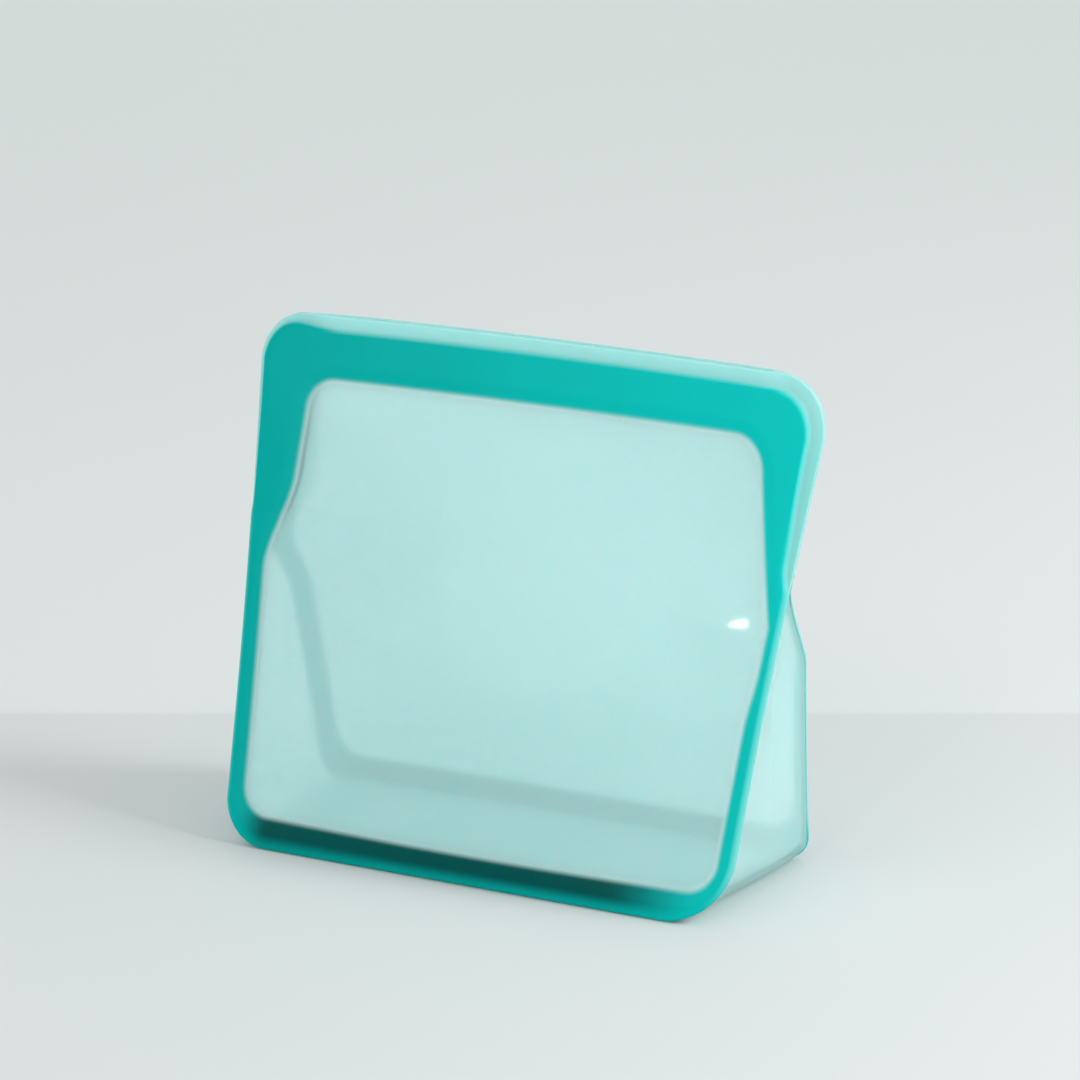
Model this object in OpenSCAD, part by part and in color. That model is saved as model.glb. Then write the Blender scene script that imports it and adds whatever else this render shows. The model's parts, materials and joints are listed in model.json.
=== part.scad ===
// Reusable silicone storage bag, standing up: front and back walls held in thick bands,
// a flat base, side gussets below a pinched waist, fused side seams above it, and a
// pinch-lock mouth whose front and back flaps swing apart.
// The bag's front faces -Y, and it stands on z = 0 with the origin under its middle.

/* [Overall] */
// Width across the top corners
top_w = 197; // [170:1:240]
// Width across the foot
base_w = 173; // [150:1:215]
// Height as it stands
bag_h = 160; // [145:1:200]
// Depth of the foot, front to back
base_d = 69; // [54:1:80]
// How far behind the middle of the foot the top edge stands
set_back = 18; // [4:0.5:20]

/* [Walls] */
// Thickness of the clear window walls
wall_t = 1.3; // [0.9:0.1:1.8]
// Thickness of the coloured bands that frame the windows
band_t = 2.2; // [1.6:0.1:3]
// Thickness of the base panel
base_t = 2; // [1.2:0.1:3]
// How far the front wall swells past its edges
front_swell = 12; // [4:0.5:18]
// How far the back wall swells past a straight line from foot to mouth
back_swell = 6; // [2:0.5:12]

/* [Bands] */
// Width of the lower side bands and of the seams at the waist
side_band_w = 6.5; // [4:0.5:9]
// Width of the seams at the top corners
shoulder_w = 18; // [11:0.5:22]
// Height of the bottom bands
foot_band_h = 10; // [5:0.5:12]
// Height of the rims that carry the pinch lock
rim_h = 14; // [12:0.5:18]
// Height of the thin lips above the rims
lip_h = 4.5; // [3:0.5:7]
// Thickness of the thin lips
lip_t = 1; // [0.8:0.1:1.4]
// Radius of the foot's corners
foot_r = 15; // [12:1:22]
// Radius of the top corners
top_r = 16; // [10:1:16]

/* [Waist] */
// Height of the waist, where the gussets end and the side seams begin
waist_z = 98; // [90:1:102]
// Height at which the back edges start to sweep in to the waist
sweep_z = 70; // [50:1:76]
// How far the back edges lean in below the sweep, for each millimetre of height
back_in = 0.2; // [0:0.02:0.3]
// How far each side is drawn in at half height
waist_pull = 1.3; // [0:0.1:3]
// How far the middle of each gusset is drawn in
crease_in = 4; // [2:0.5:8]

/* [Mouth] */
// Width of the part of the mouth that swings open
mouth_w = 124; // [100:1:130]
// Height of the line that the flaps swing about
fold_z = 103; // [100:1:112]
// Thickness of the rims
rim_t = 1.5; // [1.2:0.1:2]
// Space between the rims when the mouth is shut
mouth_gap = 2.2; // [2:0.1:2.8]
// Height of the sealing rib and of its channel's rails
rib_h = 1.7; // [1.5:0.05:1.75]
// Width of the sealing rib at its root
rib_root_w = 4; // [3.6:0.1:5]
// Width of each channel rail at its root
rail_w = 2.6; // [2:0.1:3.4]
// Clearance on each flank of the sealing rib
rib_clear = 0.35; // [0.3:0.05:0.5]

/* [Gaps] */
// Gap between a moving flap and what stays still
flap_gap = 0.5; // [0.4:0.05:0.8]
// Parting line between zones of one body
zone_gap = 0.1; // [0.05:0.05:0.2]

/* [Hidden] */
FRONT = -1;
BACK = 1;
band_colour = [0.02, 0.66, 0.62];
window_colour = [0.68, 0.89, 0.86, 0.75];
lip_colour = [0.45, 0.86, 0.82];
// Depth through the shut mouth and the side seams, with room for two bands back to back
seam_d = max(2 * rim_t + mouth_gap, 2 * (band_t + zone_gap));
rim_z = bag_h - lip_h - rim_h;  // bottom of the rims
lock_z = rim_z - 1;             // above this the two walls run parallel
recess = (band_t - wall_t) / 2; // the windows sit this far behind the bands' faces
lean = atan((base_d / 2 + set_back) / bag_h);
rib_tip_w = rib_root_w - 2 * rib_h * tan(37.5);
seal_z = rim_z + rim_h / 2;
edge_steps = 20;                // rings along the curved back edges
gusset_gap = 2 * zone_gap + base_d / 500; // the gussets clear those edges, whose rings differ

// Smooth step from 0 at a to 1 at b
function smooth(a, b, v) = let(t = min(1, max(0, (v - a) / (b - a)))) t * t * (3 - 2 * t);
function mix(a, b, t) = a + (b - a) * t;
function half_w(z) = mix(base_w, top_w, z / bag_h) / 2 - waist_pull * sin(180 * z / bag_h);
// The edges' places in Y: the front one is a straight leaning line, the back one leans in a
// little, then sweeps in to the waist and runs beside the front one to the top
function front_edge(z) = mix(-base_d / 2, set_back, z / bag_h);
function back_edge(z) =
  mix(base_d / 2 - back_in * z, front_edge(z) + seam_d, smooth(sweep_z, waist_z, z));
function edge_y(side, z) = side == FRONT ? front_edge(z) : back_edge(z);
// The walls' places in Y along the middle
function swell(z) = sin(180 * min(1, z / lock_z));
function back_line(z) = mix(base_d / 2, front_edge(lock_z) + seam_d, z / lock_z);
function middle_y(side, z) =
  z >= lock_z ? edge_y(side, z)
  : side == FRONT ? front_edge(z) - front_swell * swell(z)
  : back_line(z) + back_swell * swell(z);
// How much of the edge's place a wall has at the share u of its half width: the front wall
// leaves its bands flat, the back wall turns in late
function edge_share(side, u) =
  let(w = min(1, abs(u))) side == FRONT ? 1 - pow(1 - w * w, 1.7) : pow(w, 3);
// Outer face of a wall at the share u of its half width
function face_y(side, u, z) = mix(middle_y(side, z), edge_y(side, z), edge_share(side, u));
// Lower and upper outline at the share u, with round corners
function corner_drop(x, w, r) = let(q = max(0, abs(x) - (w - r))) r - sqrt(max(0, r * r - q * q));
function low_z(u) = corner_drop(u * half_w(0), half_w(0), foot_r);
function high_z(u) = bag_h - corner_drop(u * half_w(bag_h), half_w(bag_h), top_r);
// Width of the side bands: narrow up to the waist, then widening to the shoulders
function band_w(z) = mix(side_band_w, shoulder_w, smooth(waist_z - 8, rim_z - 12, z));
// Inner edge of the side bands, upright beside the rims
function inner_x(z) = half_w(min(z, rim_z - 2)) - band_w(z);
function inner_u(z) = inner_x(z) / half_w(z);
corner_u = 1 - side_band_w / half_w(0);

// A closed slab between two grids of points, a[i][j] on the lower side and b[i][j] on the higher
module slab(a, b) {
  n = len(a);
  m = len(a[0]);
  points = [for (g = [a, b]) for (row = g) for (p = row) p];
  function at(g, i, j) = g * n * m + i * m + j;
  function quad(p, q, r, s) = [[p, q, r], [p, r, s]];
  quads = [
    for (i = [0:n - 2]) for (j = [0:m - 2])
      quad(at(0, i, j), at(0, i, j + 1), at(0, i + 1, j + 1), at(0, i + 1, j)),
    for (i = [0:n - 2]) for (j = [0:m - 2])
      quad(at(1, i, j), at(1, i + 1, j), at(1, i + 1, j + 1), at(1, i, j + 1)),
    for (i = [0:n - 2]) quad(at(0, i, 0), at(0, i + 1, 0), at(1, i + 1, 0), at(1, i, 0)),
    for (i = [0:n - 2])
      quad(at(0, i + 1, m - 1), at(0, i, m - 1), at(1, i, m - 1), at(1, i + 1, m - 1)),
    for (j = [0:m - 2]) quad(at(0, 0, j + 1), at(0, 0, j), at(1, 0, j), at(1, 0, j + 1)),
    for (j = [0:m - 2])
      quad(at(0, n - 1, j), at(0, n - 1, j + 1), at(1, n - 1, j + 1), at(1, n - 1, j)),
  ];
  polyhedron(points, [for (q = quads) for (t = q) t]);
}

function steps(n) = [for (i = [0:n]) i / n];
// One zone of a wall: x runs from x_lim(0, z) to x_lim(1, z), z from z_lim(0, u) to z_lim(1, u),
// and the solid lies from `out` to `out + t` behind
// the wall's outer face. The columns are spaced as x is at the height ref_z.
module zone(side, x_lim, z_lim, ref_z, out, t, nu, nz) {
  function grid(depth) = [
    for (s = steps(nu)) [
      for (k = steps(nz))
        let(
          u0 = mix(x_lim(0, ref_z), x_lim(1, ref_z), s) / half_w(ref_z),
          z = mix(z_lim(0, u0), z_lim(1, u0), k),
          x = mix(x_lim(0, z), x_lim(1, z), s)
        )
        [x, face_y(side, x / half_w(z), z) - side * depth, z]
    ]
  ];
  slab(grid(side == FRONT ? out : out + t), grid(side == FRONT ? out + t : out));
}

// A straight bar along X on the leaning rims: outline in [depth, height] of the rim's own frame,
// depth counted from the front rim's outer face, height from the bottom of the rims
module rim_bar(outline, x0, x1) {
  translate([0, front_edge(rim_z), rim_z])
    rotate([-lean, 0, 0])
      translate([x0, 0, 0])
        rotate([90, 0, 90])
          linear_extrude(x1 - x0)
            polygon(outline);
}
// Depth range of the front or back rim, from the outer to the inner face
through = seam_d * cos(lean);
function rim_span(side, t) = side == FRONT ? [0, t] : [through - t, through];
function box2(y, z) = [[y[0], z[0]], [y[1], z[0]], [y[1], z[1]], [y[0], z[1]]];
slope_h = (bag_h - rim_z) / cos(lean);          // length of rim and lip along the lean
lip_z = (slope_h - lip_h / cos(lean));          // where the lip starts, along the lean
rim_thick = rim_t * cos(lean);
lip_off = (rim_thick - lip_t) / 2;
// Where a wall stops under its rim, whose lower face tilts with the lean
function rim_foot(side) = rim_z - zone_gap - rim_span(side, rim_thick)[1] * sin(lean);

module base_panel() {
  x = half_w(0) - foot_r;
  y0 = front_edge(base_t) + band_t + zone_gap;
  y1 = min(back_edge(base_t), face_y(BACK, 0, base_t)) - band_t - 2 * zone_gap;
  color(band_colour)
    translate([-x, y0, 0])
      cube([2 * x, y1 - y0, base_t]);
}

// Round lower corner of the base strip, from the flat base up to the gusset
module base_corner() {
  x0 = half_w(0) - foot_r;
  // the ring follows the outline's widening with height
  function ring(r) = [
    for (v = steps(1)) [
      for (k = steps(8))
        let(
          h = foot_r - r * cos(90 * k),
          x = x0 + zone_gap + r * sin(90 * k) + (half_w(h) - half_w(0)) * k,
          y0 = front_edge(h) + band_t + zone_gap,
          y1 = back_edge(h) - band_t - zone_gap
        )
        [x - band_t * 0.15 * k, mix(y1, y0, v), h]
    ]
  ];
  color(band_colour) slab(ring(foot_r - base_t), ring(foot_r));
}

module bottom_band(side) {
  x_lim = function(e, z) (2 * e - 1) * (corner_u * half_w(z) - zone_gap);
  z_lim = function(e, u) low_z(min(corner_u, abs(u)) * sign(u)) + e * foot_band_h;
  color(band_colour) zone(side, x_lim, z_lim, 0, 0, band_t, 24, 2);
}

module side_band(side) {
  x_lim = function(e, z) e == 0 ? inner_u(z) * half_w(z) : half_w(z);
  z_lim = function(e, u) e == 0 ? low_z(u) : waist_z - zone_gap;
  color(band_colour) zone(side, x_lim, z_lim, 0, 0, band_t, 4, edge_steps);
}

module wall_lower(side) {
  x_lim = function(e, z) (2 * e - 1) * (inner_u(z) * half_w(z) - zone_gap);
  z_lim = function(e, u) e == 0
    ? low_z(min(corner_u, abs(u))) + foot_band_h + 2 * zone_gap
    : fold_z - flap_gap / 2;
  color(window_colour)
    zone(side, x_lim, z_lim, 0, recess, wall_t, 24, 10);
}

module wall_upper(side) {
  x_lim = function(e, z) (2 * e - 1) * mouth_w / 2;
  z_lim = function(e, u) e == 0 ? fold_z + flap_gap / 2 : rim_foot(side);
  color(window_colour)
    zone(side, x_lim, z_lim, fold_z, recess, wall_t, 14, 8);
}

module wall_shoulder(side) {
  x_lim = function(e, z) e == 0
    ? mouth_w / 2 + flap_gap
    : inner_u(z) * half_w(z) - zone_gap;
  z_lim = function(e, u) e == 0 ? fold_z - flap_gap / 2 + zone_gap : rim_foot(side);
  color(window_colour)
    zone(side, x_lim, z_lim, fold_z, recess, wall_t, 5, 8);
}

// The fused seam above the waist, from the front face to the back one, with the top corner
module side_seam() {
  function x_at(s, z) = mix(inner_u(z), 1, s) * half_w(z);
  function grid(side) = [
    for (s = steps(9)) [
      for (k = steps(14))
        let(
          u = mix(inner_u(bag_h), 1, s),
          z = mix(waist_z, high_z(u), k),
          x = x_at(s, z)
        )
        [x, side == FRONT ? front_edge(z) : front_edge(z) + seam_d, z]
    ]
  ];
  color(band_colour) slab(grid(FRONT), grid(BACK));
}

// Half of a side gusset, drawn in towards its crease
module gusset_leaf(side) {
  top_z = waist_z - 3;
  function grid(off) = [
    for (v = steps(4)) [
      for (k = steps(edge_steps))
        let(
          z = mix(foot_r + zone_gap, top_z, k),
          y0 = front_edge(z) + band_t + zone_gap,
          y1 = back_edge(z) - band_t - gusset_gap,
          crease = mix(y0, y1, 0.5) + side * zone_gap / 2,
          v1 = side == FRONT ? mix(1, 0, v) : mix(0, 1, 1 - v),
          y = side == FRONT ? mix(y0, crease, v1) : mix(crease, y1, v1),
          to_crease = side == FRONT ? v1 : 1 - v1,
          draw = crease_in * smooth(foot_r, sweep_z, z) * to_crease
        )
        [half_w(z) - band_t * 0.15 - draw - off, y, z]
    ]
  ];
  color(window_colour) slab(grid(wall_t), grid(0));
}

// Rim and lip in one, from the flap's end to the side seam
module rim_end(side) {
  y = rim_span(side, rim_thick);
  color(band_colour)
    difference() {
      rim_bar(box2(y, [0, slope_h]), mouth_w / 2 + flap_gap, inner_x(bag_h) - zone_gap);
      rim_bar(box2([y[0] - 1, y[0] + lip_off], [lip_z, slope_h + 1]), 0, top_w);
      rim_bar(box2([y[1] - lip_off, y[1] + 1], [lip_z, slope_h + 1]), 0, top_w);
    }
}

module rim(side) {
  color(band_colour)
    rim_bar(box2(rim_span(side, rim_thick), [0, lip_z - zone_gap]), -mouth_w / 2, mouth_w / 2);
}

module lip(side) {
  y = rim_span(side, rim_thick);
  color(lip_colour)
    rim_bar(box2([y[0] + lip_off, y[1] - lip_off], [lip_z, slope_h]), -mouth_w / 2, mouth_w / 2);
}

// Sealing rib inside the front rim, tapered so that it leaves the channel at a slant
module seal_rib() {
  root_y = rim_thick + zone_gap;
  tip_y = root_y + rib_h * cos(lean);
  mid = (seal_z - rim_z) / cos(lean);
  color(band_colour)
    rim_bar([
      [root_y, mid - rib_root_w / 2], [tip_y, mid - rib_tip_w / 2],
      [tip_y, mid + rib_tip_w / 2], [root_y, mid + rib_root_w / 2]
    ], -mouth_w / 2 + 1, mouth_w / 2 - 1);
}

// One rail of the channel inside the back rim, above or below the rib
module channel_rail(up) {
  root_y = through - rim_thick - zone_gap;
  tip_y = root_y - rib_h * cos(lean);
  mid = (seal_z - rim_z) / cos(lean);
  near_root = rib_tip_w / 2 + rib_clear;
  near_tip = rib_root_w / 2 + rib_clear;
  color(band_colour)
    rim_bar([
      [root_y, mid + up * near_root], [tip_y, mid + up * near_tip],
      [tip_y, mid + up * (near_tip + rail_w - 1)], [root_y, mid + up * (near_root + rail_w)]
    ], -mouth_w / 2 + 1, mouth_w / 2 - 1);
}

module left() {
  mirror([1, 0, 0]) children();
}

base_panel();
left() base_corner();  // left_base_corner
base_corner();  // right_base_corner
bottom_band(FRONT);  // front_bottom_band
bottom_band(BACK);  // back_bottom_band
left() side_band(FRONT);  // front_left_side_band
side_band(FRONT);  // front_right_side_band
left() side_band(BACK);  // back_left_side_band
side_band(BACK);  // back_right_side_band
wall_lower(FRONT);  // front_wall_lower
wall_lower(BACK);  // back_wall_lower
left() gusset_leaf(FRONT);  // left_gusset_front_leaf
left() gusset_leaf(BACK);  // left_gusset_back_leaf
gusset_leaf(FRONT);  // right_gusset_front_leaf
gusset_leaf(BACK);  // right_gusset_back_leaf
left() side_seam();  // left_side_seam
side_seam();  // right_side_seam
left() wall_shoulder(FRONT);  // front_left_wall_shoulder
wall_shoulder(FRONT);  // front_right_wall_shoulder
left() wall_shoulder(BACK);  // back_left_wall_shoulder
wall_shoulder(BACK);  // back_right_wall_shoulder
left() rim_end(FRONT);  // front_left_rim_end
rim_end(FRONT);  // front_right_rim_end
left() rim_end(BACK);  // back_left_rim_end
rim_end(BACK);  // back_right_rim_end
wall_upper(FRONT);  // front_wall_upper
rim(FRONT);  // front_rim
lip(FRONT);  // front_lip
seal_rib();
wall_upper(BACK);  // back_wall_upper
rim(BACK);  // back_rim
lip(BACK);  // back_lip
channel_rail(1);  // channel_upper_rail
channel_rail(-1);  // channel_lower_rail
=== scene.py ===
"""Reusable silicone storage bag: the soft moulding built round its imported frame.

The bag is one sheet of silicone that is thick in its bands and thin in its windows. Every wall
is a surface over (x, z): a leaning face, a relief for bands and lips, and a thickness behind it.
All lengths are in metres, the bag's front faces -Y and it stands on z = 0.
"""
import json
import math

import bpy
import numpy as np
from mathutils import Matrix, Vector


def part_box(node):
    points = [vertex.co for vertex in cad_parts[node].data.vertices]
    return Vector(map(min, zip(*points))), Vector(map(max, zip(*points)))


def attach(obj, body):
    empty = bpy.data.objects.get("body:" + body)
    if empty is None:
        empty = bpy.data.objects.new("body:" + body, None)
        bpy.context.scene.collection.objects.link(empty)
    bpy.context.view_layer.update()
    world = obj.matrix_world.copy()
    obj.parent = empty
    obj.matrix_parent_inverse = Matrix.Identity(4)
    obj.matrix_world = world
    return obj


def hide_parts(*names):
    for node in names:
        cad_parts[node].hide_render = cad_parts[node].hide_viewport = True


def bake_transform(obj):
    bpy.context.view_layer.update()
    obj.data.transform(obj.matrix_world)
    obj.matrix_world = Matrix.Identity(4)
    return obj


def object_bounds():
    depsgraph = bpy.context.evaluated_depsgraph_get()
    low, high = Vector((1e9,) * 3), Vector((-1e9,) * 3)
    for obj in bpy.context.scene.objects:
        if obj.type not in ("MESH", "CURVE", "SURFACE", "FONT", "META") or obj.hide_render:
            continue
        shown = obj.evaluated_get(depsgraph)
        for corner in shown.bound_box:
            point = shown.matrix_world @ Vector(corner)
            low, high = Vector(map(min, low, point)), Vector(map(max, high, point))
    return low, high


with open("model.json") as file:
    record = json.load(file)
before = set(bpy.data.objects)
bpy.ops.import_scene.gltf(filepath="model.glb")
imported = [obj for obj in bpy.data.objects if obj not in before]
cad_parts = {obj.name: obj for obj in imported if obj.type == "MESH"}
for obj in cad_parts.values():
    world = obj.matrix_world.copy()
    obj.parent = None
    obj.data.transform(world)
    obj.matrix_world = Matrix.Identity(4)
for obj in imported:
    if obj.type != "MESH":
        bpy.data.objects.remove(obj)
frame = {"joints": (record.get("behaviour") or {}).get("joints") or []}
CAD_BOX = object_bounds()

bl_info = {
    "name": "Silicone Storage Bag",
    "version": (1, 0, 0),
    "blender": (4, 5, 0),
    "location": "View3D > Sidebar > Bag",
    "description": "Builds a stand-up silicone bag with thick bands, clear walls and a pinch-lock mouth",
    "category": "Add Mesh",
}

FRONT, BACK = -1.0, 1.0
SIDES = {"front": FRONT, "back": BACK}
MM = 0.001
FINE = 2  # every count of steps over the sheet is multiplied by this
SHARP_ANGLE = math.radians(50)  # edges turned further than this are shaded as creases
MASKS = ("thick", "lip", "foot", "bead", "bright")  # shares that colour the silicone
LEAST_T = 0.25 * MM  # no part of the sheet is thinner than this
NEAR_GAP = 0.04 * MM  # half the gap between the front and back sheets where they meet
RIB_ANGLE = math.radians(37.5)  # lean of the flanks of the rib and its rails
TIP = 0.6 * MM  # length of the rounded tip at each end of the rib and rails
BAR_ROUND = 0.35 * MM  # rounding of their corners
SINK = 0.1 * MM  # how far their roots stand inside the rims

# The stage: where the camera looks from and the light comes from, in radians and metres
AZIMUTH, ELEVATION = math.radians(26.4), math.radians(17.0)
CAMERA_REACH, LENS, SENSOR = 1.5, 161.5, 36.0
AIM, AIM_RIGHT, AIM_UP = (0, 0.002, 0.085), 0.0071, 0.0161
FLOOR_REACH, FLOOR_EDGE, WALL_FAR = 6.0, 0.1335, 1.6


def low(node, axis):
    """Lowest coordinate of a frame node along axis 0, 1 or 2."""
    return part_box(node)[0][axis]


def high(node, axis):
    """Highest coordinate of a frame node along axis 0, 1 or 2."""
    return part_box(node)[1][axis]


def hinge(name):
    """The frame's joint of that name."""
    return next(j for j in frame["joints"] if j["name"] == name)


def length(name, default, about):
    """A length property in metres."""
    return bpy.props.FloatProperty(
        name=name, description=about, default=default, subtype="DISTANCE", unit="LENGTH", precision=5
    )


def share(name, default, about):
    """A plain number property."""
    return bpy.props.FloatProperty(name=name, description=about, default=default)


def colour(name, default, about):
    """A linear colour property."""
    return bpy.props.FloatVectorProperty(
        name=name, description=about, default=default, subtype="COLOR", size=3, min=0, max=1
    )


class BagSizes(bpy.types.PropertyGroup):
    """Sizes of the bag. Those that the frame holds start from it."""

    height: length("Height", CAD_BOX[1][2], "Height of the bag as it stands")
    depth: length("Depth", high("back_bottom_band", 1) - low("front_bottom_band", 1), "Depth of the foot")
    top_w: length("Top width", 197 * MM, "Width across the top corners")
    base_w: length("Foot width", 173 * MM, "Width across the foot")
    set_back: length("Set back", 18 * MM, "How far the top edge stands behind the middle of the foot")
    waist_pull: length("Waist pull", 1.3 * MM, "How far each side is drawn in at half height")
    back_in: share("Back lean", 0.2, "How far the back edges lean in for each unit of height")
    sweep_z: length("Sweep height", 70 * MM, "Height at which the back edges sweep in")
    waist_z: length("Waist height", low("left_side_seam", 2), "Height of the waist")
    fold_z: length("Fold height", hinge("front_flap_swing")["pos_m"][2], "Height of the fold line")
    rim_z: length("Rim foot", 141.5 * MM, "Height at which the rims start")
    rim_h: length("Rim height", 14 * MM, "Height of the rims")
    lip_h: length("Lip height", 3.8 * MM, "Height of the thin lips")
    lip_right_w: length("Right lip", 4.4 * MM, "Width of the thin lip along the right seam")
    lip_left_w: length("Left lip", 1.6 * MM, "Width of the lip along the left seam, where it rolls back")
    front_swell: length("Front swell", 12 * MM, "How far the front wall swells")
    back_swell: length("Back swell", 6 * MM, "How far the back wall swells")
    bulge: length("Bulge", 0.9 * MM, "Height of the small bulge beside the right waist")
    bulge_x: length("Bulge across", 73.5 * MM, "Where the small bulge lies across the bag")
    bulge_z: length("Bulge height", 88 * MM, "Height of the small bulge")
    bulge_r: length("Bulge radius", 6 * MM, "Spread of the small bulge")
    seam_d: length("Seam depth", 5.2 * MM, "Depth through the shut mouth")
    left_band_w: length("Left band", 6.8 * MM, "Width of the lower left side bands")
    right_band_w: length("Right band", 5.0 * MM, "Width of the lower right side bands")
    waist_band_w: length("Waist band", 3.8 * MM, "Width of the right bands at the waist")
    seam_band_w: length("Seam band", 15.2 * MM, "Width of the left bands just above the waist")
    shoulder_w: length("Shoulder", 18.8 * MM, "Width of the bands at the top corners")
    foot_band_h: length("Foot band", 10 * MM, "Height of the bottom bands")
    foot_r: length("Foot radius", 15 * MM, "Radius of the left foot corner in front")
    foot_right_r: length("Right foot radius", 21 * MM, "Radius of the right foot corner in front")
    foot_back_r: length("Back foot radius", 9 * MM, "Radius of both foot corners behind")
    top_r: length("Top radius", 15 * MM, "Radius of the left top corner")
    top_right_r: length("Right top radius", 19 * MM, "Radius of the right top corner")
    window_r: length("Window radius", 9 * MM, "Radius of the windows' corners")
    base_t: length("Base", 2 * MM, "Thickness of the base")
    wall_t: length("Wall", 1.3 * MM, "Thickness of the windows")
    band_t: length("Band", 2.2 * MM, "Thickness of the bands")
    rim_t: length("Rim", 1.5 * MM, "Thickness of the rims")
    lip_t: length("Lip", 1.0 * MM, "Thickness of the lips")
    roll: length("Roll", 1.6 * MM, "Radius of the bands' outer edges")
    crown: length("Crown", 0.5 * MM, "How far the bands stand proud at their middle")
    arch: length("Arch", 1.6 * MM, "How far the mouth arches up in the middle")
    crease_in: length("Crease", 4 * MM, "How far the gussets are drawn in")
    rib_h: length("Rib", 1.7 * MM, "Height of the sealing rib and of its channel's rails")
    rib_w: length("Rib root", 4 * MM, "Width of the sealing rib at its root")
    rail_w: length("Rail root", 2.6 * MM, "Width of each channel rail at its root")
    rib_clear: length("Rib clearance", 0.35 * MM, "Clearance on each flank of the sealing rib")
    seam_x: length("Seam start", 76 * MM, "Half width at which the moving mouth begins")
    flap_x: length("Flap", 28 * MM, "Half width of the mouth's stiff middle")


class BagColours(bpy.types.PropertyGroup):
    """Colours of the silicone at its different thicknesses, of painted light and shade on its
    bands, and of the stage.
    """

    band: colour("Band", (0.0, 0.450, 0.420), "Thick silicone")
    # Painted light: a lighter copy of the band colour for the side of the bands that the light comes
    # from.
    bright: colour("Bright band", (0.0, 0.640, 0.600), "Thick silicone that light enters from the side")
    # Painted shade: a dark copy of the band colour for the middle of the bottom bands, where shade falls.
    foot: colour("Foot band", (0.0, 0.095, 0.088), "Doubled silicone along the foot")
    window: colour("Window", (0.620, 0.945, 0.920), "Thin frosted silicone")
    lip: colour("Lip", (0.480, 0.930, 0.900), "Thin lips and rolled edges")
    floor: colour("Floor", (0.69, 0.725, 0.725), "Table top")
    wall: colour("Backdrop", (0.88, 0.95, 0.94), "Table top past its far edge")


# ---------------------------------------------------------------- shape of the walls


def mix(a, b, t):
    """a + (b - a) t."""
    return a + (b - a) * t


def smooth(a, b, v):
    """Smooth step: 0 up to a, 1 past b, and 3t^2 - 2t^3 between."""
    t = np.clip((v - a) / (b - a), 0, 1)
    return t * t * (3 - 2 * t)


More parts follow.
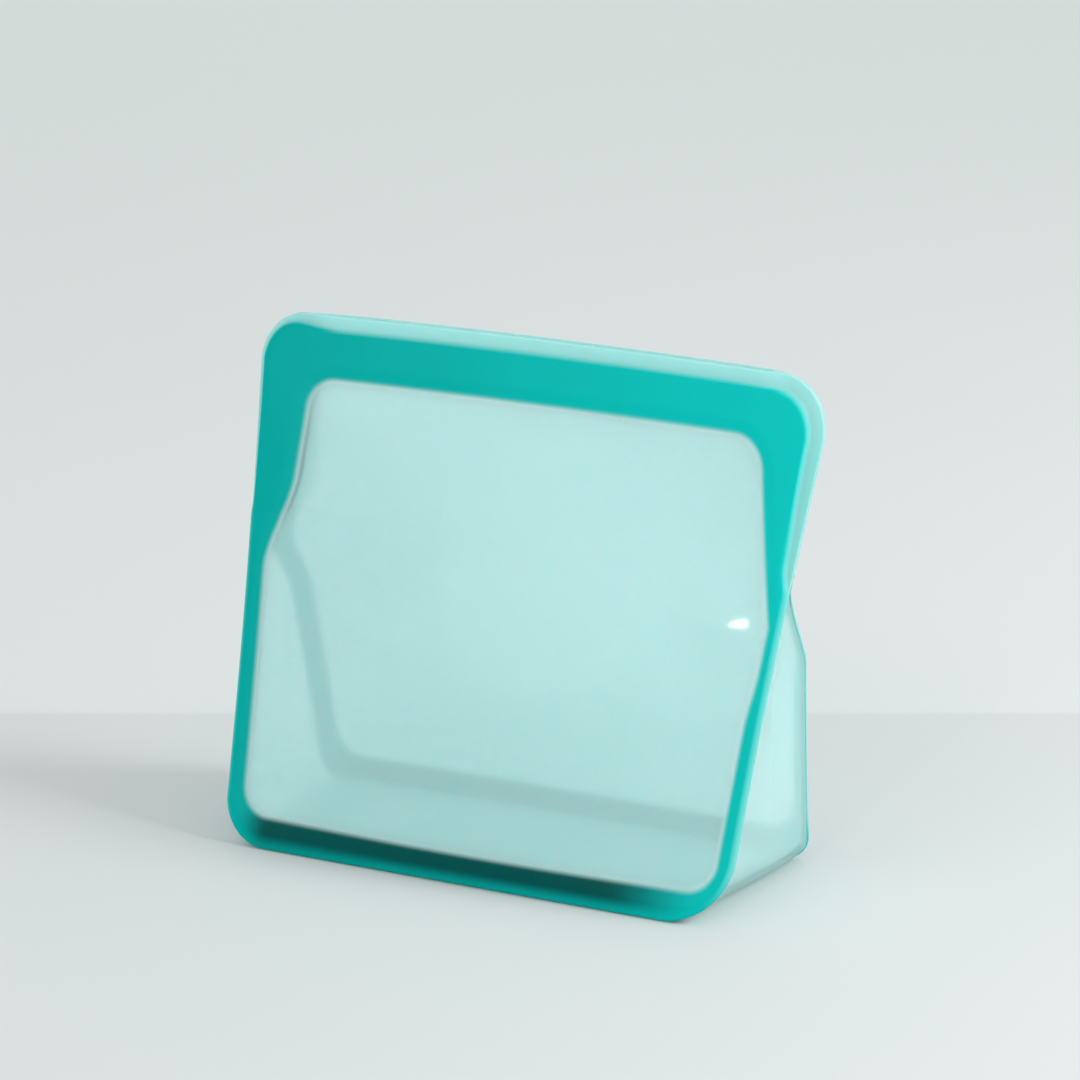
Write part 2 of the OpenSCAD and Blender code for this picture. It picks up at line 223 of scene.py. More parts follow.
class Bag:
    """The bag's shape as functions of numpy arrays x and z."""

    def __init__(self, s):
        self.s = s
        self.lock_z = s.rim_z - 1 * MM

    def half_w(self, z):
        """Half width: straight from foot to top, less a half sine."""
        s = self.s
        return mix(s.base_w, s.top_w, z / s.height) / 2 - s.waist_pull * np.sin(np.pi * z / s.height)

    def front_edge(self, z):
        """The front edge leans back in a straight line."""
        s = self.s
        return mix(-s.depth / 2, s.set_back, z / s.height)

    def back_edge(self, z):
        """The back edge leans in, then turns quickly to the front one at the waist."""
        s = self.s
        upright = s.depth / 2 - s.back_in * z
        left = np.clip((s.waist_z - z) / (s.waist_z - s.sweep_z), 0, 1)
        return mix(upright, self.front_edge(z) + s.seam_d, (1 - left) ** 1.6)

    def edge(self, side, z):
        """The front or the back edge."""
        return self.front_edge(z) if side < 0 else self.back_edge(z)

    def middle(self, side, z):
        """The walls along x = 0: a line with a half sine of swell, parallel above the lock."""
        s = self.s
        swell = np.sin(np.pi * np.minimum(1, z / self.lock_z))
        if side < 0:
            below = self.front_edge(z) - s.front_swell * swell
        else:
            top = self.front_edge(self.lock_z) + s.seam_d
            below = mix(s.depth / 2, top, z / self.lock_z) + s.back_swell * swell
        return np.where(z >= self.lock_z, self.edge(side, z), below)

    def face(self, side, x, z):
        """Outer face: from the middle to the edge, flat by the front bands and late at the back."""
        s = self.s
        w = np.minimum(1, np.abs(x) / self.half_w(z))
        hold = 1 - (1 - w * w) ** 1.7 if side < 0 else w**3
        face = mix(self.middle(side, z), self.edge(side, z), hold)
        away = np.hypot(x - s.bulge_x, z - s.bulge_z) / s.bulge_r
        return face - s.bulge * np.exp(-(away**2) / 2) * (side < 0)

    def band_w(self, x, z):
        """Width of the side bands. The left ones step out at the waist, and the right ones
        narrow there, then widen in a straight line to the top."""
        s = self.s
        step = mix(s.left_band_w, s.seam_band_w, smooth(s.waist_z - 15 * MM, s.waist_z + 15 * MM, z))
        left = step + (s.shoulder_w - s.seam_band_w) * smooth(s.waist_z, s.rim_z, z)
        turn = mix(s.right_band_w, s.waist_band_w, smooth(s.waist_z - 40 * MM, s.waist_z - 23 * MM, z))
        rise = np.clip((z - s.waist_z + 10 * MM) / (s.rim_z - s.waist_z + 8 * MM), 0, 1)
        right = turn + (s.shoulder_w - s.waist_band_w) * rise
        return np.where(x > 0, right, left)

    def inner_x(self, x, z):
        """Half width of the window on x's own hand, upright beside the rims."""
        return self.half_w(np.minimum(z, self.s.rim_z - 2 * MM)) - self.band_w(x, z)

    def foot_radius(self, side, x):
        """Radius of the foot's corner: large in front on the right, small behind."""
        s = self.s
        return np.where(x > 0, s.foot_right_r, s.foot_r) if side < 0 else s.foot_back_r + 0 * x

    def top_radius(self, x):
        """Radius of the top corner: larger on the right."""
        s = self.s
        return np.where(x > 0, s.top_right_r, s.top_r)

    @staticmethod
    def drop(x, w, r):
        """How far a round corner of radius r falls short at x."""
        q = np.maximum(0, np.minimum(np.abs(x), w) - (w - r))
        return r - np.sqrt(np.maximum(0, r * r - q * q))

    def foot_z(self, side, x):
        """Height of the outline's foot at x."""
        return self.drop(x, self.half_w(0.0), self.foot_radius(side, x))

    def top_z(self, x):
        """Height of the outline's top at x."""
        s = self.s
        return s.height - self.drop(x, self.half_w(s.height), self.top_radius(x))

    @staticmethod
    def rounded(qx, qz, r):
        """Signed distance to a box with round corners, negative inside."""
        a, b = qx + r, qz + r
        return np.hypot(np.maximum(a, 0), np.maximum(b, 0)) + np.minimum(np.maximum(a, b), 0) - r

    def past_window(self, x, z):
        """Signed distance out of the window's outline."""
        s = self.s
        qz = np.maximum(z - s.rim_z, s.foot_band_h - z)
        return self.rounded(np.abs(x) - self.inner_x(x, z), qz, s.window_r)

    def to_edge(self, side, x, z):
        """Distance in from the wall's outline."""
        s = self.s
        qx = np.abs(x) - self.half_w(z)
        top = self.rounded(qx, z - s.height, self.top_radius(x))
        foot = self.rounded(qx, -z, self.foot_radius(side, x))
        return np.maximum(0, -np.maximum(top, foot))

    def seam_lip_w(self, x, z):
        """Width of the lip along the seams, growing from nothing at the waist."""
        s = self.s
        side = np.where(x > 0, s.lip_right_w, s.lip_left_w)
        start = smooth(s.waist_z - 4 * MM, s.waist_z + 8 * MM, z)
        return side * mix(0.55, 1.0, smooth(s.waist_z, s.rim_z, z)) * start

    def lip(self, side, x, z):
        """1 on the thin lip along the mouth and the seams, 0 off it."""
        s = self.s
        inner = self.inner_x(x, z)
        over = smooth(inner + 15 * MM, inner - 11 * MM, np.abs(x)) * smooth(s.fold_z, s.rim_z, z)
        w = mix(self.seam_lip_w(x, z), s.lip_h, over)
        d = self.to_edge(side, x, z)
        return (1 - smooth(w - 0.7 * MM, w + 0.7 * MM, d)) * smooth(0.1 * MM, 0.8 * MM, w)

    def thick(self, x, z):
        """1 on the bands, 0 in the window."""
        return smooth(-1.0 * MM, 1.2 * MM, self.past_window(x, z))

    def fused(self, x, z):
        """1 where front and back are moulded together: the seams above the waist."""
        s = self.s
        inner = self.inner_x(x, z)
        across = smooth(inner - 2 * MM, inner + 1.5 * MM, np.abs(x))
        return across * smooth(s.waist_z - 2 * MM, s.waist_z + 6 * MM, z)

    def relief(self, side, x, z):
        """How far the outer surface lies behind the face: recessed windows, crowned bands,
        thin lips and a rounded outer edge."""
        s = self.s
        thick, lip, d = self.thick(x, z), self.lip(side, x, z), self.to_edge(side, x, z)
        past = np.maximum(0, self.past_window(x, z))
        crown = s.crown * smooth(0, 5 * MM, past) * smooth(0, 5 * MM, d)
        inner = self.inner_x(x, z)
        beside = smooth(inner - 2 * MM, inner + 6 * MM, np.abs(x))
        lip_back = mix(0.3 * MM, s.seam_d / 2 - s.lip_t, beside)
        r = mix(s.roll, 0.45 * MM, lip)
        roll = r - np.sqrt(np.maximum(0, r * r - np.maximum(0, r - d) ** 2))
        window_back = (s.band_t - s.wall_t) / 2
        return mix(mix(window_back, -crown, thick), lip_back, lip) + roll

    def depth(self, side, x, z):
        """Thickness behind the outer face."""
        s = self.s
        band = mix(s.band_t, s.rim_t, smooth(s.rim_z - 8 * MM, s.rim_z, z))
        t = mix(s.wall_t + (s.band_t - s.wall_t) / 2, band, self.thick(x, z))
        t = mix(t, 0.3 * MM + s.lip_t, self.lip(side, x, z) * smooth(s.rim_z, s.height, z))
        half = (self.face(BACK, x, z) - self.face(FRONT, x, z)) / 2 - NEAR_GAP
        return np.minimum(mix(t, half, self.fused(x, z)), half)

    def masks(self, side, x, z):
        """Shares that colour the silicone: thick for the bands, lip for the thin lips and a painted
        glow on the outer edges, foot for painted shade along the bottom bands, and the last two for a
        painted highlight round the windows' rims and a painted lit side where the light comes from."""
        s = self.s
        d = self.to_edge(side, x, z)
        # Painted glow: the bands' outer edges lightened, more behind than in front and not near the
        # floor, standing in for light that passes through the silicone there.
        painted_edge_glow = (1 - smooth(0, 1.8 * MM, d)) * smooth(4 * MM, 20 * MM, z)
        painted_edge_glow = painted_edge_glow * (0.35 if side < 0 else 0.9)
        # Painted highlight: a thin light line round the windows' rims, which are also made a little more
        # opaque.
        rim = np.exp(-((self.past_window(x, z) + 0.5 * MM) / (0.6 * MM)) ** 2)
        # Painted shade: darker along the middle of the bottom bands, less at their outer edge and fading
        # towards the corners, sooner on the right.
        away = 1 - smooth(s.foot_band_h - 1 * MM, s.foot_band_h + 4 * MM, z)
        away = away * mix(0.3, 1.0, smooth(0.8 * MM, 5.5 * MM, d))
        reach = np.where(x > 0, 40 * MM, 16 * MM)
        turn = 1 - smooth(s.base_w / 2 - reach, s.base_w / 2 - 4 * MM, np.abs(x))
        seam = mix(0.8, 1.0, smooth(s.rim_z - 8 * MM, s.rim_z + 10 * MM, z))
        return {
            "thick": self.thick(x, z),
            "lip": np.maximum(self.lip(side, x, z) * seam, painted_edge_glow),
            "foot": away * turn,
            "bead": rim,
            # painted lit side: the bands lighter towards the right and higher up
            "bright": smooth(-1.3, 1.1, x / self.half_w(z)) * mix(0.7, 1.0, smooth(0, s.rim_z, z)),
        }

    def settle(self, p):
        """The mouth arches up a little in the middle."""
        s = self.s
        rise = s.arch * (1 - (2 * p[..., 0] / s.top_w) ** 2) * smooth(s.fold_z, s.height, p[..., 2])
        p[..., 2] += rise
        return p

    def surface(self, side, x, z):
        """Outer and inner points of a wall over the grids x and z, and its masks."""
        face = self.face(side, x, z)
        out = face - side * self.relief(side, x, z)
        back = face - side * self.depth(side, x, z)
        back = np.where(side * (out - back) < LEAST_T, out - side * LEAST_T, back)
        return (
            self.settle(np.stack([x, out, z], -1)),
            self.settle(np.stack([x, back, z], -1)),
            self.masks(side, x, z),
        )


# ---------------------------------------------------------------- meshes


def spaced(stops):
    """Values through [(value, steps), ...]: equal steps from each value to the next."""
    parts = [np.linspace(a, b, n * FINE, endpoint=False) for (a, n), (b, _) in zip(stops, stops[1:])]
    return np.append(np.concatenate(parts), stops[-1][0])


def shell(name, outer, inner, masks, cuts=()):
    """A closed shell between two grids of points. The faces of a side named in cuts (x0, x1,
    z0, z1) lie inside the silicone, where this piece meets the next, and take material 1."""
    n, m = outer.shape[:2]
    points = np.concatenate([outer.reshape(-1, 3), inner.reshape(-1, 3)])
    a = np.arange(n * m).reshape(n, m)
    b = a + n * m

    def quads(p, q, r, s):
        return np.stack([p, q, r, s], -1).reshape(-1, 4)

    walls = {
        "z0": quads(a[1:, 0], a[:-1, 0], b[:-1, 0], b[1:, 0]),
        "z1": quads(a[:-1, -1], a[1:, -1], b[1:, -1], b[:-1, -1]),
        "x0": quads(a[0, :-1], a[0, 1:], b[0, 1:], b[0, :-1]),
        "x1": quads(a[-1, 1:], a[-1, :-1], b[-1, :-1], b[-1, 1:]),
    }
    faces = [
        quads(a[:-1, :-1], a[1:, :-1], a[1:, 1:], a[:-1, 1:]),
        quads(b[:-1, :-1], b[:-1, 1:], b[1:, 1:], b[1:, :-1]),
        *walls.values(),
    ]
    index = [np.full(len(f), 0) for f in faces[:2]]
    index += [np.full(len(f), int(key in cuts)) for key, f in walls.items()]
    faces, index = np.concatenate(faces), np.concatenate(index)
    mesh = bpy.data.meshes.new(name)
    mesh.from_pydata(points, [], faces.tolist())
    mesh.polygons.foreach_set("material_index", index.astype(np.int32))
    for key, values in masks.items():
        layer = mesh.attributes.new(key, "FLOAT", "POINT")
        layer.data.foreach_set("value", np.tile(values.reshape(-1), 2).astype(np.float32))
    return finish_mesh(name, mesh)


def finish_mesh(name, mesh):
    """Links a mesh as an object with smooth faces and sharp cut edges, its faces outwards."""
    mesh.update()
    if sum_volume(mesh) < 0:
        mesh.flip_normals()
    mesh.polygons.foreach_set("use_smooth", np.ones(len(mesh.polygons), bool))
    mesh.set_sharp_from_angle(angle=SHARP_ANGLE)
    obj = bpy.data.objects.new(name, mesh)
    bpy.context.scene.collection.objects.link(obj)
    return obj


def sum_volume(mesh):
    """Signed volume of a closed mesh, from its fan triangles."""
    co = np.zeros(len(mesh.vertices) * 3)
    mesh.vertices.foreach_get("co", co)
    co = co.reshape(-1, 3)
    mesh.calc_loop_triangles()
    tri = np.zeros(len(mesh.loop_triangles) * 3, np.int32)
    mesh.loop_triangles.foreach_get("vertices", tri)
    a, b, c = (co[tri.reshape(-1, 3)[:, k]] for k in range(3))
    return float(np.einsum("ij,ij->i", a, np.cross(b, c)).sum()) / 6


def dress(obj, *materials):
    """Gives an object its materials, in slot order."""
    for material in materials:
        obj.data.materials.append(material)
    return obj


# ---------------------------------------------------------------- materials


class Value:
    """A socket with arithmetic: every operator adds a Math node."""

    def __init__(self, book, socket):
        self.book, self.socket = book, socket

    def _math(self, operation, a, b):
        return self.book.node("ShaderNodeMath", {"operation": operation}, {0: a, 1: b})

    def __add__(self, other):
        return self._math("ADD", self, other)

    def __radd__(self, other):
        return self._math("ADD", other, self)

    def __sub__(self, other):
        return self._math("SUBTRACT", self, other)

    def __rsub__(self, other):
        return self._math("SUBTRACT", other, self)

    def __mul__(self, other):
        return self._math("MULTIPLY", self, other)

    def __rmul__(self, other):
        return self._math("MULTIPLY", other, self)


class Book:
    """A material's node tree, written one node at a time."""

    def __init__(self, name):
        self.material = bpy.data.materials.new(name)
        self.material.use_nodes = True
        self.tree = self.material.node_tree
        self.tree.nodes.clear()

    def node(self, kind, settings=None, inputs=None, out=0):
        """A node of that kind, its settings first, then its inputs, as its output socket."""
        node = self.tree.nodes.new(kind)
        for key, value in (settings or {}).items():
            setattr(node, key, value)
        for key, value in (inputs or {}).items():
            if isinstance(value, Value):
                self.tree.links.new(value.socket, node.inputs[key])
            else:
                node.inputs[key].default_value = value
        return Value(self, node.outputs[out])

    def blend(self, share, a, b):
        """Colour a to colour b by share."""
        return self.node(
            "ShaderNodeMix",
            {"data_type": "RGBA"},
            {0: share, 6: self._rgba(a), 7: self._rgba(b)},
            out=2,
        )

    @staticmethod
    def _rgba(value):
        return value if isinstance(value, Value) else (*value[:3], 1.0)

    def finish(self, shader):
        out = self.tree.nodes.new("ShaderNodeOutputMaterial")
        self.tree.links.new(shader.socket, out.inputs["Surface"])
        return self.material


def silicone(name, colours):
    """Frosted silicone whose colour and opacity follow the sheet's thickness: a cloudy window,
    deep bands and pale lips, with a fine grain and a slow ripple from the mould. Light and shade
    are painted in too: a lit side and shade along the foot on the bands, a highlight round the
    windows' rims and a glow on the outer edges."""
    b = Book(name)
    place = b.node("ShaderNodeTexCoord", out=3)

    def mask(key):
        return b.node("ShaderNodeAttribute", {"attribute_name": key}, out=2)

    thick, lip, foot, bead, bright = (mask(key) for key in MASKS)
    cloud = b.node("ShaderNodeTexNoise", {}, {"Vector": place, "Scale": 26.0, "Detail": 3.0})
    grain = b.node("ShaderNodeTexNoise", {}, {"Vector": place, "Scale": 1400.0, "Detail": 2.0})
    ripple = b.node("ShaderNodeTexNoise", {}, {"Vector": place, "Scale": 60.0, "Detail": 1.0})
    window = b.blend(cloud, tint(colours.window, 0.95), tint(colours.window, 1.05))
    # Painted highlight: the windows' rims lightened.
    window = b.blend(bead * 0.6, window, tint(colours.window, 1.25))
    # Painted light: the bands lighter on the side that the light comes from.
    band = b.blend(bright, colours.band, colours.bright)
    band = b.blend(cloud, b.blend(0.1, band, (0, 0, 0)), band)
    # Painted shade: the bands darkened along the middle of the foot.
    band = b.blend(foot, band, colours.foot)
    # The lip share holds the thin lips' own pale colour and the painted glow on the outer edges.
    base = b.blend(lip, b.blend(thick, window, band), colours.lip)
    alpha = 0.44 + thick * 0.55 - lip * 0.36 + bead * 0.12
    rough = 0.42 - thick * 0.06 + (grain - 0.5) * 0.10
    height = grain * 0.35 + ripple * 0.65
    bump = b.node("ShaderNodeBump", {}, {"Height": height, "Strength": 0.16, "Distance": 0.0008})
    shader = b.node(
        "ShaderNodeBsdfPrincipled",
        {"subsurface_method": "RANDOM_WALK"},
        {
            "Base Color": base,
            "Roughness": rough,
            "Alpha": alpha,
            "Normal": bump,
            "Subsurface Weight": 0.8,
            "Subsurface Radius": (0.5, 1.0, 0.95),
            "Subsurface Scale": 0.0008,
            "Specular IOR Level": 0.04,
            "Coat Weight": 0.60 - thick * 0.57,
            "Coat Roughness": 0.10,
            "IOR": 1.41,
        },
    )
    return b.finish(shader)


def tint(shade, factor):
    """A colour made lighter or darker."""
    return [min(1.0, c * factor) for c in shade]


def cut_material():
    """The faces inside the silicone where two pieces of one sheet meet: nothing shows there."""
    b = Book("cut_inside")
    return b.finish(b.node("ShaderNodeBsdfTransparent"))


def table(colours, level):
    """A matt floor, faintly uneven, that changes shade past an edge behind the bag and then
    brightens with distance, painted light that makes up for the lamps' falling off on the
    backdrop. Level is the flat direction towards the camera."""
    b = Book("table")
    place = b.node("ShaderNodeTexCoord", out=3)
    cloud = b.node("ShaderNodeTexNoise", {}, {"Vector": place, "Scale": 3.0, "Detail": 2.0})
    dot = {"operation": "DOT_PRODUCT"}
    ahead = b.node("ShaderNodeVectorMath", dot, {0: place, 1: tuple(level)}, out=1)

    def beyond(end, start):
        """1 from end metres behind the bag, 0 up to start."""
        stops = {0: ahead, 1: -end, 2: -start, 3: 1.0, 4: 0.0}
        return b.node("ShaderNodeMapRange", {"clamp": True}, stops)

    past = beyond(FLOOR_EDGE + 2 * MM, FLOOR_EDGE - 2 * MM)
    # Painted light: the backdrop brightens with distance.
    far = beyond(WALL_FAR, FLOOR_EDGE)
    base = b.blend(past, colours.floor, b.blend(far, tint(colours.floor, 1.09), colours.wall))
    base = b.blend(cloud, b.blend(0.02, base, (0, 0, 0)), base)
    look = {"Base Color": base, "Roughness": 0.7, "Specular IOR Level": 0.2}
    return b.finish(b.node("ShaderNodeBsdfPrincipled", {}, look))


def bag():
    """The bag's shape at the sizes set in the scene."""
    return Bag(bpy.context.scene.bag_sizes)


def material(name):
    """The material of that name."""
    return bpy.data.materials[name]


# ---------------------------------------------------------------- pieces


def wall_piece(name, side, x, z, cuts):
    """A piece of the front or back wall over the grids x and z."""
    outer, inner, masks = bag().surface(side, x, z)
    obj = shell(name, outer, inner, masks, cuts)
    return dress(obj, material("silicone"), material("cut_inside"))


# Columns run from 0 to 1 over the window, to 2 over the band and to 3 over the seam's lip.
BAND_COLUMNS = [(1.0, 8), (1.5, 5), (2.0, 3), (2.3, 4), (2.85, 4), (3.0, 0)]


def band_x(shape, hand, c, z, start):
    """Half widths for columns c: start to the window's edge, to the lip, to the outline."""
    inner, out = shape.inner_x(hand, z), shape.half_w(z)
    lip = out - np.maximum(1.6 * MM, shape.seam_lip_w(hand, z) + 0.8 * MM)
    x = np.where(c <= 1, mix(start, inner, c), mix(inner, lip, c - 1))
    return np.where(c > 2, mix(lip, out, c - 2), x)


def lower_wall(side_name):
    """The wall from the foot to the fold line, over the whole width: columns mirror about the
    middle, and rows run from 0 to 1 over the foot's band and to 2 over the window."""
    shape, side = bag(), SIDES[side_name]
    s = shape.s
    half = spaced([(0.0, 16), (0.84, 16), *BAND_COLUMNS])
    columns = np.concatenate([-half[:0:-1], half])
    rows = spaced([(0.0, 4), (0.12, 4), (0.5, 5), (1.0, 10), (1.1, 16), (1.8, 16), (2.0, 0)])
    c, r = np.meshgrid(columns, rows, indexing="ij")
    hand, a = np.where(c < 0, -1.0, 1.0), np.abs(c)
    foot = shape.foot_z(side, hand * band_x(shape, hand, a, 0 * a, 0.0))
    lower = foot + s.foot_band_h
    z = np.where(r <= 1, mix(foot, lower, r), mix(lower, s.fold_z, r - 1))
    x = hand * band_x(shape, hand, a, z, 0.0)
    return wall_piece(f"{side_name}_lower_wall", side, x, z, ("z1",))


UPPER_ROWS = [(0.0, 18), (0.72, 10), (1.0, 8), (1.5, 4), (2.0, 8), (2.85, 4), (3.0, 0)]


def upper_z(shape, x, r):
    """Rows 0 to 1 are the wall, 1 to 2 the rim, 2 to 3 the lip, up to the round corner."""
    s = shape.s
    top = shape.top_z(x)
    lip = top - s.lip_h
    rim = np.minimum(s.rim_z, lip - 4 * MM)
    z = np.where(r <= 1, mix(s.fold_z, rim, r), mix(rim, lip, r - 1))
    return np.where(r > 2, mix(lip, top, r - 2), z)


def diagonal_x(shape, z):
    """Half width of the mouth's stiff middle, narrowing from the fold line up to the rim."""
    s = shape.s
    return mix(s.seam_x, s.flap_x, np.clip((z - s.fold_z) / (s.rim_z - s.fold_z), 0, 1))


def flap_wall(side_name):
    """The middle of the wall above the fold line."""
    shape = bag()
    c, r = np.meshgrid(spaced([(-1.0, 48), (1.0, 0)]), spaced(UPPER_ROWS), indexing="ij")
    z = upper_z(shape, 0 * c, r)
    x = c * diagonal_x(shape, z)
    return wall_piece(f"{side_name}_flap_wall", SIDES[side_name], x, z, ("z0", "x0", "x1"))


def shoulder_wall(side_name, hand):
    """The wall and seam beside the flap, on one hand, out to the round corner."""
    shape = bag()
    s = shape.s
    c, r = np.meshgrid(spaced([(0.0, 8), (0.6, 14), *BAND_COLUMNS]), spaced(UPPER_ROWS), indexing="ij")
    top_x = band_x(shape, hand, c, s.height + 0 * c, s.flap_x)
    z = upper_z(shape, hand * top_x, r)
    x = band_x(shape, hand, c, z, diagonal_x(shape, z))
    word = "left" if hand < 0 else "right"
    return wall_piece(f"{side_name}_{word}_shoulder", SIDES[side_name], hand * x, z, ("z0", "x0"))


def bar(name, profile, start, end):
    """A bar along X from start to end: a profile of (depth behind the front rim's face, height
    up the rim), in the leaning frame of the mouth, with rounded corners, swept along the bar.
    An end past the flap's stiff middle tapers; any other is cut flat."""
    shape = bag()
    s = shape.s
    lean = np.arctan2(s.depth / 2 + s.set_back, s.height)
    points = []
    count = len(profile)
    corner = np.linspace(0, 1, 5)
    for k in range(count):
        before, here, after = (np.array(profile[i % count]) for i in (k - 1, k, k + 1))
        cut = min(BAR_ROUND, np.linalg.norm(before - here) / 3, np.linalg.norm(after - here) / 3)
        a = here + (before - here) / np.linalg.norm(before - here) * cut
        b = here + (after - here) / np.linalg.norm(after - here) * cut
        t = corner[:, None]
        points.append(a * (1 - t) ** 2 + 2 * here * t * (1 - t) + b * t**2)
    ring = np.concatenate(points)
    centre = ring.mean(0)
    tip = abs(end) > s.flap_x
    t = np.linspace(0, 1, 32)
    if tip:
        t = np.append(t, 1 + np.linspace(0.25, 1, 4))
    x = mix(start, end, np.minimum(t, 1)) - np.sign(end) * TIP * tip
    x = x + np.sign(end) * TIP * np.maximum(0, t - 1)
    scale = 0.7 + 0.3 * np.sqrt(1 - np.maximum(0, t - 1) ** 2)
    x[0] = start
    local = centre + (ring[None] - centre) * scale[:, None, None]
    y = shape.front_edge(s.rim_z) + local[..., 0] * np.cos(lean) + local[..., 1] * np.sin(lean)
    z = s.rim_z + local[..., 1] * np.cos(lean) - local[..., 0] * np.sin(lean)
    grid = np.stack([np.broadcast_to(x[:, None], y.shape), y, z], -1)
    n, m = y.shape
    a = np.arange(n * m).reshape(n, m)
    b = np.roll(a, -1, axis=1)
    sides = np.stack([a[:-1], b[:-1], b[1:], a[1:]], -1).reshape(-1, 4).tolist()
    mesh = bpy.data.meshes.new(name)
    mesh.from_pydata(shape.settle(grid).reshape(-1, 3), [], [*sides, a[0, ::-1].tolist(), a[-1].tolist()])
    # The rib and rails take half of the painted lit side's light.
    for key, value in {**dict.fromkeys(MASKS, 0.0), "thick": 1.0, "bright": 0.5}.items():
        layer = mesh.attributes.new(key, "FLOAT", "POINT")
        layer.data.foreach_set("value", np.full(n * m, value, np.float32))
    return dress(finish_mesh(name, mesh), material("silicone"))


def mouth_bar(name, profile, half, flap, node):
    """A bar of the pinch lock: its middle rides the flap, and both ends are fixed in the scene."""
    s = bpy.context.scene.bag_sizes
    middle = bar(name, profile, -s.flap_x, s.flap_x)
    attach(middle, flap)
    pieces = [middle]
    for word, hand in (("left", -1), ("right", 1)):
        end = bar(f"{name}_{word}", profile, hand * s.flap_x, hand * half)
        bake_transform(end)
        pieces.append(end)
    for piece in pieces:
        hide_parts(node)


class BAG_OT_materials(bpy.types.Operator):
    """Makes the silicone and the clear ends of its pieces"""

    bl_idname = "bag.materials"
    bl_label = "Materials"

    def execute(self, context):
        colours = context.scene.bag_colours
        silicone("silicone", colours)
        cut_material()
        return {"FINISHED"}


class BAG_OT_walls(bpy.types.Operator):
    """Builds the front and back walls with their bands, rims and lips"""

    bl_idname = "bag.walls"
    bl_label = "Walls"

    def execute(self, context):
        for word in SIDES:
            lower = lower_wall(word)
            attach(lower, "pouch")
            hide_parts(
                f"{word}_wall_lower",
                f"{word}_bottom_band",
                f"{word}_left_side_band",
                f"{word}_right_side_band",
            )
            flap = flap_wall(word)
            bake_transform(flap)
            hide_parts(f"{word}_wall_upper", f"{word}_rim", f"{word}_lip")
            for hand, hand_word in ((-1, "left"), (1, "right")):
                shoulder = shoulder_wall(word, hand)
                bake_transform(shoulder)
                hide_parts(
                    f"{word}_{hand_word}_wall_shoulder",
                    f"{word}_{hand_word}_rim_end",
                    f"{hand_word}_side_seam",
                )
        return {"FINISHED"}


class BAG_OT_seal(bpy.types.Operator):
    """Builds the sealing rib and the two rails of its channel"""

    bl_idname = "bag.seal"
    bl_label = "Pinch lock"

    def execute(self, context):
        s = context.scene.bag_sizes
        lean = math.atan2(s.depth / 2 + s.set_back, s.height)
        tilt = math.cos(lean)
        through, thin = s.seam_d * tilt, s.rim_t * tilt
        rib, mid = s.rib_h * tilt, s.rim_h / 2 / tilt
        root, tip = s.rib_w / 2, s.rib_w / 2 - s.rib_h * math.tan(RIB_ANGLE)
        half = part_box("seal_rib")[1][0]
        profile = [
            (thin - SINK, mid - root),
            (thin + rib, mid - tip),
            (thin + rib, mid + tip),
            (thin - SINK, mid + root),
        ]
        mouth_bar("sealing_rib", profile, half, "front_flap", "seal_rib")
        near_root, near_tip = tip + s.rib_clear, root + s.rib_clear
        foot, crest = through - thin + SINK, through - thin - rib
        for word, up in (("upper", 1), ("lower", -1)):
            profile = [
                (foot, mid + up * near_root),
                (crest, mid + up * near_tip),
                (crest, mid + up * (near_tip + s.rail_w - 1 * MM)),
                (foot, mid + up * (near_root + s.rail_w)),
            ]
            mouth_bar(f"channel_{word}", profile, half, "back_flap", f"channel_{word}_rail")
        return {"FINISHED"}


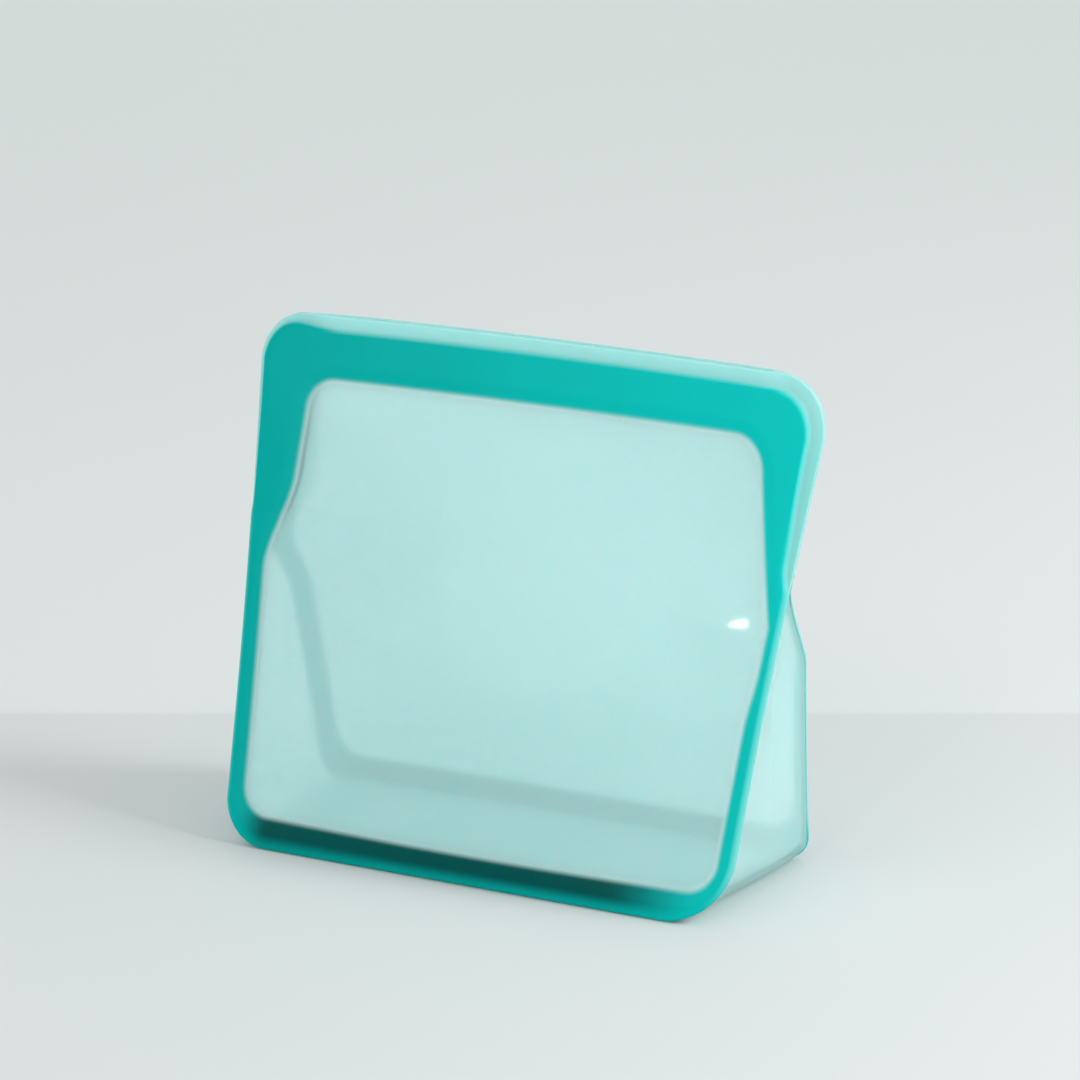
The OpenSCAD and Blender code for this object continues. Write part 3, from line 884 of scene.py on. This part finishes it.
class BAG_OT_foot(bpy.types.Operator):
    """Builds the strip that makes the base and both gussets"""

    bl_idname = "bag.foot"
    bl_label = "Base and gussets"

    def execute(self, context):
        shape = bag()
        s = shape.s
        # p runs 0 to 1 down the left side, to 2 round its corner, to 3 over the base, and back up
        half = spaced([(0.0, 26), (0.6, 20), (1.0, 14), (2.0, 16), (3.0, 0)])
        path = np.concatenate([half, 6 - half[-2::-1]])
        across = spaced([(0.0, 5), (0.08, 9), (0.44, 6), (0.56, 9), (0.92, 5), (1.0, 0)])
        p, q = np.meshgrid(path, across, indexing="ij")
        hand, p = np.where(p > 3, 1.0, -1.0), np.where(p > 3, 6 - p, p)
        r = mix(shape.foot_radius(FRONT, hand), shape.foot_radius(BACK, hand), smooth(0, 1, q))
        top, inset = s.waist_z + 2 * MM, 0.35 * MM
        turn = np.clip(p - 1, 0, 1) * np.pi / 2
        z = np.where(p <= 1, mix(top, r, p), r - (r - inset) * np.sin(turn))
        out = shape.half_w(np.maximum(z, r))
        x = np.where(p <= 1, out - inset, out - r + (r - inset) * np.cos(turn))
        x = np.where(p > 2, mix(shape.half_w(r) - r, 0.0, p - 2), x)
        nx = np.where(p <= 2, np.cos(turn), 0.0)
        nz = np.where(p <= 1, 0.0, np.where(p <= 2, -np.sin(turn), -1.0))
        y0 = shape.front_edge(z) + s.band_t - 0.5 * MM
        y1 = np.maximum(shape.back_edge(z) - s.band_t + 0.5 * MM, y0 + 0.3 * MM)
        span = np.clip((y1 - y0) / (30 * MM), 0, 1)
        up = smooth(s.foot_r, s.sweep_z, z)
        fold = (1 - np.abs(2 * q - 1)) ** 1.25
        move = -s.crease_in * up * fold * span
        t = mix(s.base_t, s.wall_t, smooth(2 * MM, s.foot_r, z))
        near = q * (y1 - y0)
        along_foot = 0.3 * (1 - smooth(0.0, 4 * MM, z))
        thick = np.maximum(along_foot, 1 - smooth(0.8 * MM, 3.2 * MM, near))
        y = mix(y0, y1, q)
        outer = np.stack([hand * (x + nx * move), y, z + nz * move], -1)
        inner = np.stack([hand * (x + nx * (move - t)), y, z + nz * (move - t)], -1)
        # The base and gussets take half of the painted lit side's light.
        masks = {**dict.fromkeys(MASKS, 0 * thick), "thick": thick, "bright": 0 * thick + 0.5}
        obj = shell("base_and_gussets", outer, inner, masks)
        dress(obj, material("silicone"), material("cut_inside"))
        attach(obj, "pouch")
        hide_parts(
            "base_panel",
            "left_base_corner",
            "right_base_corner",
            "left_gusset_front_leaf",
            "left_gusset_back_leaf",
            "right_gusset_front_leaf",
            "right_gusset_back_leaf",
        )
        return {"FINISHED"}


class BAG_OT_stage(bpy.types.Operator):
    """Sets the floor, soft lights and camera"""

    bl_idname = "bag.stage"
    bl_label = "Stage"

    def execute(self, context):
        scene = context.scene
        level = np.array([math.sin(AZIMUTH), -math.cos(AZIMUTH), 0])
        back = level * math.cos(ELEVATION) + np.array([0, 0, math.sin(ELEVATION)])
        right = np.array([math.cos(AZIMUTH), math.sin(AZIMUTH), 0])
        up = np.cross(back, right)
        aim = np.array(AIM) + right * AIM_RIGHT + up * AIM_UP
        data = bpy.data.cameras.new("camera")
        data.lens, data.sensor_width = LENS, SENSOR
        camera = bpy.data.objects.new("camera", data)
        matrix = np.eye(4)
        matrix[:3, 0], matrix[:3, 1], matrix[:3, 2] = right, up, back
        matrix[:3, 3] = aim + back * CAMERA_REACH
        camera.matrix_world = Matrix(matrix.tolist())
        scene.collection.objects.link(camera)
        scene.camera = camera

        mesh = bpy.data.meshes.new("floor")
        corners = np.array([(-1, -1, 0), (1, -1, 0), (1, 1, 0), (-1, 1, 0)]) * FLOOR_REACH
        mesh.from_pydata(corners, [], [(0, 1, 2, 3)])
        floor = bpy.data.objects.new("floor", mesh)
        scene.collection.objects.link(floor)
        mesh.materials.append(table(context.scene.bag_colours, level))

        def lamp(name, place, size, power):
            """A round lamp at place, facing the middle of the bag."""
            light = bpy.data.lights.new(name, "AREA")
            light.shape, light.size, light.energy = "DISK", size, power
            obj = bpy.data.objects.new(name, light)
            scene.collection.objects.link(obj)
            z = np.array(place) - np.array([0, 0, 0.08])
            z = z / np.linalg.norm(z)
            x = np.cross([0, 0, 1.0], z)
            x /= np.linalg.norm(x)
            m = np.eye(4)
            m[:3, 0], m[:3, 1], m[:3, 2], m[:3, 3] = x, np.cross(z, x), z, place
            obj.matrix_world = Matrix(m.tolist())

        lamp("key", tuple(right * 1.0 + level * 0.35 + np.array([0, 0, 0.75])), 0.55, 8.5)
        lamp("fill", tuple(-right * 1.2 + level * 1.2 + np.array([0, 0, 0.9])), 1.2, 4)
        # a small lamp whose reflection sits on the swell beside the right band
        glint = np.array([0.0785, -0.030, 0.088]) + np.array([0.025, -0.950, 0.310]) * 1.6
        lamp("glint", tuple(glint), 0.11, 2.2)
        world = bpy.data.worlds.new("room")
        world.use_nodes = True
        sky = world.node_tree.nodes["Background"]
        sky.inputs["Color"].default_value = (0.975, 0.99, 0.98, 1)
        sky.inputs["Strength"].default_value = 0.72
        scene.world = world
        scene.view_settings.view_transform = "Standard"
        return {"FINISHED"}


class BAG_PT_panel(bpy.types.Panel):
    """Lists the steps that build the bag"""

    bl_label = "Silicone Storage Bag"
    bl_idname = "BAG_PT_panel"
    bl_space_type = "VIEW_3D"
    bl_region_type = "UI"
    bl_category = "Bag"

    def draw(self, context):
        for operator in OPERATORS:
            self.layout.operator(operator.bl_idname)


OPERATORS = (BAG_OT_materials, BAG_OT_walls, BAG_OT_seal, BAG_OT_foot, BAG_OT_stage)
CLASSES = (BagSizes, BagColours, *OPERATORS, BAG_PT_panel)


def register():
    """Adds the classes and the scene's two groups of settings."""
    for cls in CLASSES:
        bpy.utils.register_class(cls)
    bpy.types.Scene.bag_sizes = bpy.props.PointerProperty(type=BagSizes)
    bpy.types.Scene.bag_colours = bpy.props.PointerProperty(type=BagColours)


def unregister():
    """Takes them away again, in reverse order."""
    del bpy.types.Scene.bag_colours
    del bpy.types.Scene.bag_sizes
    for cls in reversed(CLASSES):
        bpy.utils.unregister_class(cls)


def main():
    """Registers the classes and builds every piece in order."""
    register()
    bpy.ops.bag.materials()
    bpy.ops.bag.walls()
    bpy.ops.bag.seal()
    bpy.ops.bag.foot()
    bpy.ops.bag.stage()


if __name__ == "__main__":
    main()
